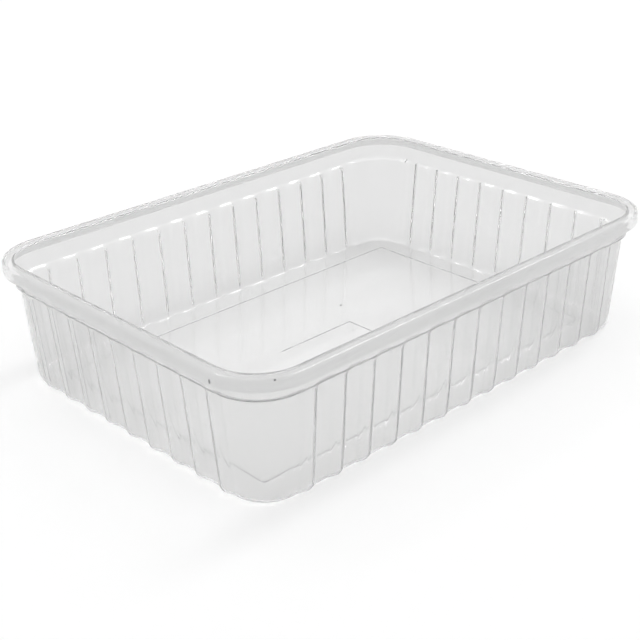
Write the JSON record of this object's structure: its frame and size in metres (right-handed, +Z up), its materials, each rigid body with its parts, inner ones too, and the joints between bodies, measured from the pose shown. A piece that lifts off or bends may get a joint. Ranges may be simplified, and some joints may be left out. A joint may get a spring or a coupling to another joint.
{
  "type": "deli container",
  "caption": "Shallow rectangular takeaway tub in clear plastic, with rounded corners, a flat-topped rim, ribbed tapering walls and a raised floor; open, without its lid.",
  "frame": {"origin": "middle of the base, on the plane of the foot band that the container stands on", "axes": "+X along the long side, +Y along the short side, +Z up out of the mouth"},
  "size_m": [0.18, 0.1284, 0.042],
  "materials": {
    "clear_plastic": "clear, slightly grey, glossy moulded plastic"
  },
  "bodies": {
    "root": {"container": "clear_plastic"}
  },
  "joints": []
}
